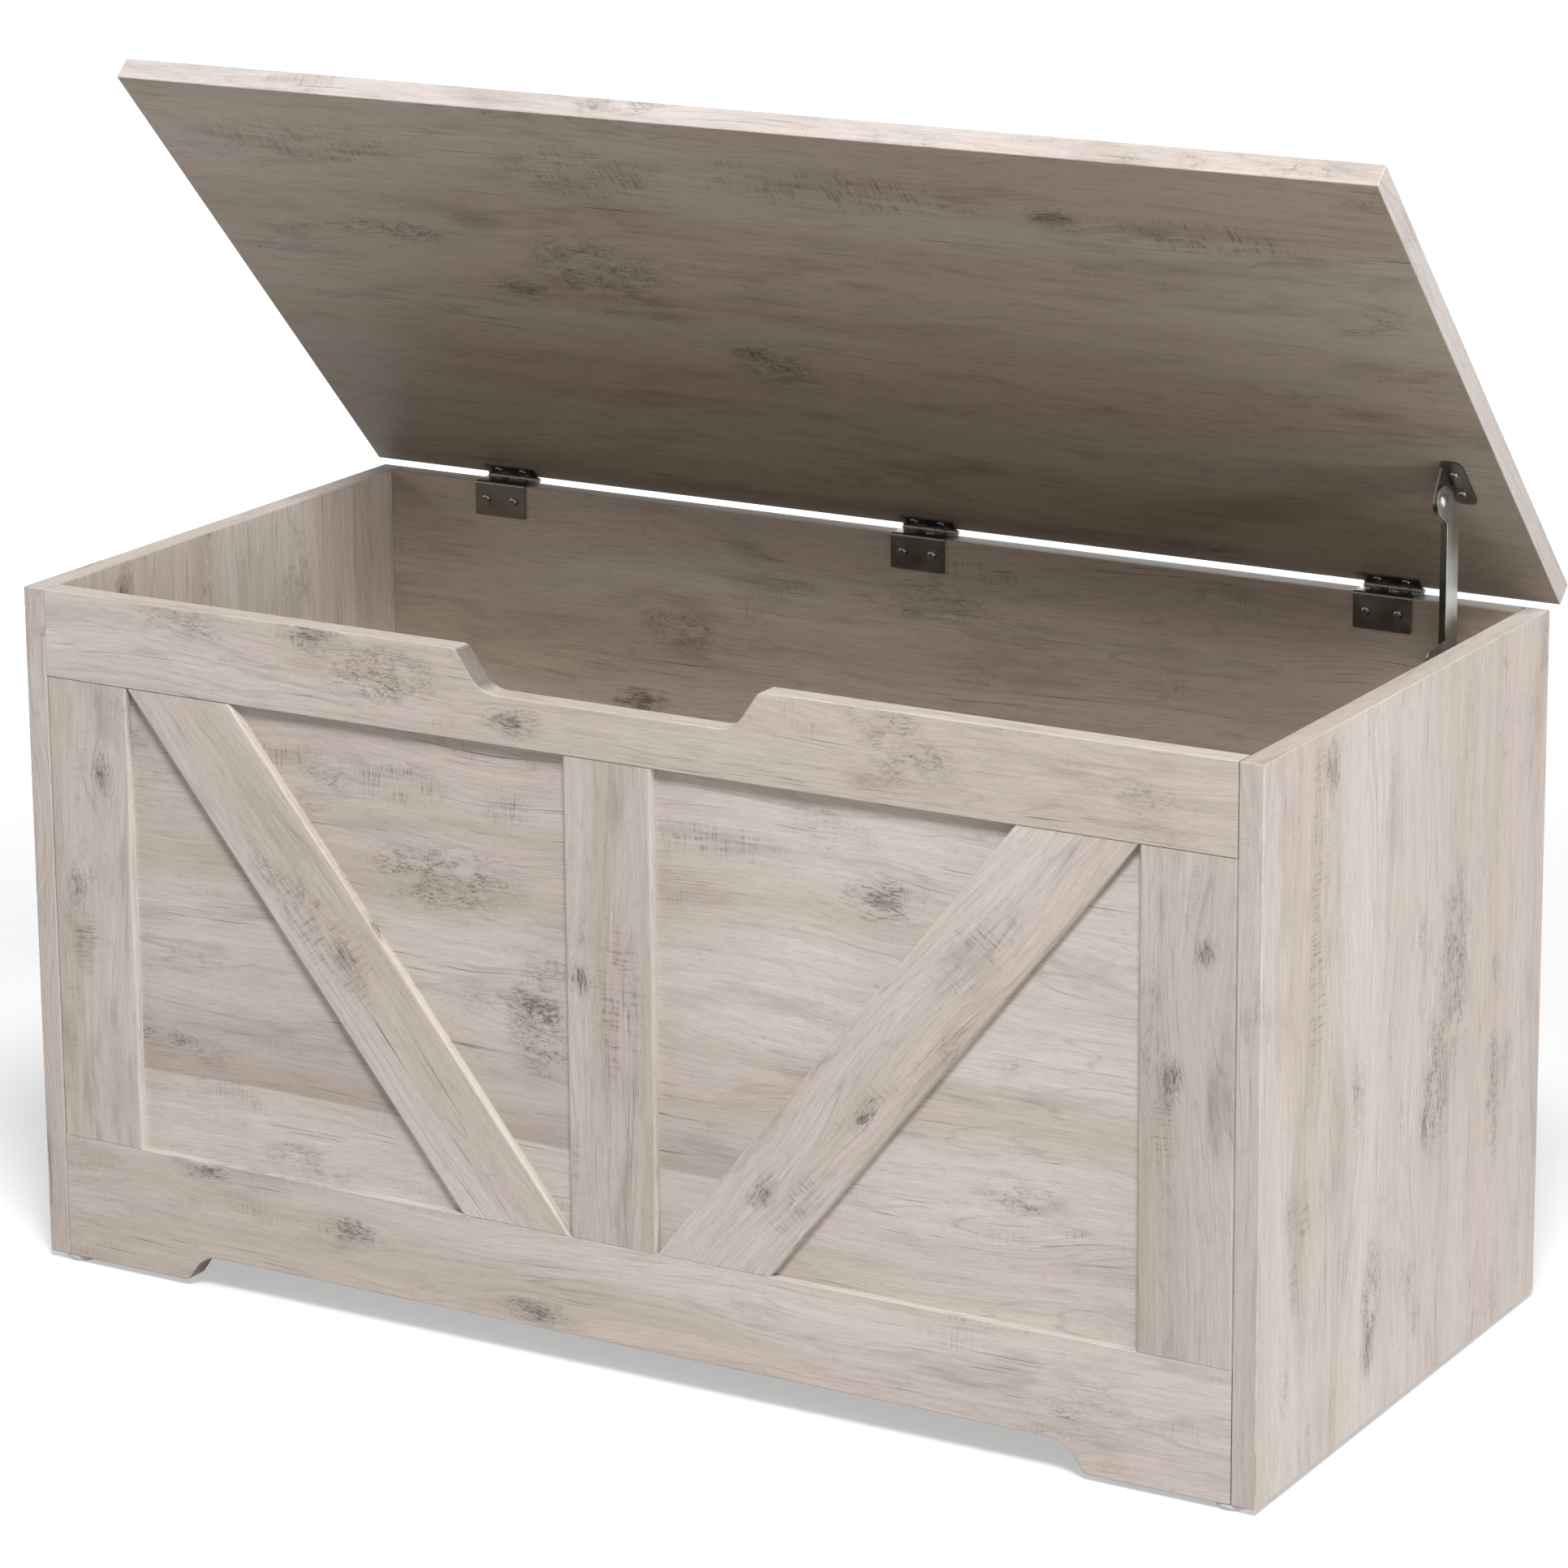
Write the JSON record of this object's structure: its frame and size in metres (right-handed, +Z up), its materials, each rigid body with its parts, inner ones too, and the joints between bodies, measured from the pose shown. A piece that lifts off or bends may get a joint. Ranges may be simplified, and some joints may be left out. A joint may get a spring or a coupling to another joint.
{
  "type": "storage chest",
  "caption": "Low storage chest of wood-effect boards with a panelled, diagonally braced front, a finger notch, and a hinged lid held open by a folding stay.",
  "frame": {"origin": "middle of the footprint at rest, level with the undersides of the glides", "axes": "+X to the right when looking at the front, +Y from the front to the back, +Z up"},
  "size_m": [0.85, 0.4024, 0.7408],
  "materials": {
    "front_board": "washed grey-beige wood print, matt",
    "side_board": "washed grey-beige wood print, matt",
    "inner_board": "washed grey-beige wood print, matt",
    "lid_board": "washed grey-beige wood print, matt",
    "dowel_wood": "plain beech, fluted",
    "glide_plastic": "smooth pale grey",
    "dark_steel": "dark gunmetal, satin",
    "arm_steel": "grey zinc plated, satin",
    "bright_steel": "bright zinc plated"
  },
  "bodies": {
    "chest": {"side_panel_left": "side_board", "side_panel_right": "side_board", "back_panel": "inner_board", "bottom_panel": "inner_board", "front_panel": "front_board", "top_rail": "front_board", "bottom_rail": "front_board", "stile_left": "front_board", "stile_centre": "front_board", "stile_right": "front_board", "brace_left": "front_board", "brace_right": "front_board", "glides": "glide_plastic", "glide_nails": "bright_steel", "hinge_body_leaf_left": "dark_steel", "hinge_body_leaf_centre": "dark_steel", "hinge_body_leaf_right": "dark_steel", "hinge_pins": "bright_steel", "hinge_body_screws": "bright_steel", "stay_wall_plate": "dark_steel", "stay_wall_screws": "bright_steel", "stay_friction_hub": "dark_steel", "stay_wall_rivet": "bright_steel", "cam_locks": "bright_steel", "cam_bolts": "bright_steel", "dowels": "dowel_wood"},
    "lid": {"lid_panel": "lid_board", "hinge_lid_leaf_left": "dark_steel", "hinge_lid_leaf_centre": "dark_steel", "hinge_lid_leaf_right": "dark_steel", "hinge_lid_screws": "bright_steel", "stay_lid_bracket": "dark_steel", "stay_bracket_screws": "bright_steel", "stay_bracket_rivet": "bright_steel"},
    "upper_arm": {"stay_upper_arm": "arm_steel"},
    "lower_arm": {"stay_lower_arm": "arm_steel", "stay_knee_pin": "bright_steel"}
  },
  "joints": [
    {"name": "lid_hinge", "type": "hinge", "parent": "chest", "child": "lid", "pos_m": [0, 0.19081, 0.435], "axis": [-1, 0, 0], "range_deg": [-47.2, 27.8]},
    {"name": "stay_upper_pivot", "type": "hinge", "parent": "lid", "child": "upper_arm", "pos_m": [0.38865, 0.09697, 0.51574], "axis": [-1, 0, 0], "range_deg": [-26.5, 44.5]},
    {"name": "stay_lower_pivot", "type": "hinge", "parent": "chest", "child": "lower_arm", "pos_m": [0.3907, 0.16181, 0.347], "axis": [-1, 0, 0], "range_deg": [-52, 31]}
  ],
  "couplings": [
    {"joint": "stay_upper_pivot", "follows": "lid_hinge", "ratio": -0.91949},
    {"joint": "stay_lower_pivot", "follows": "lid_hinge", "ratio": 1.0835}
  ]
}
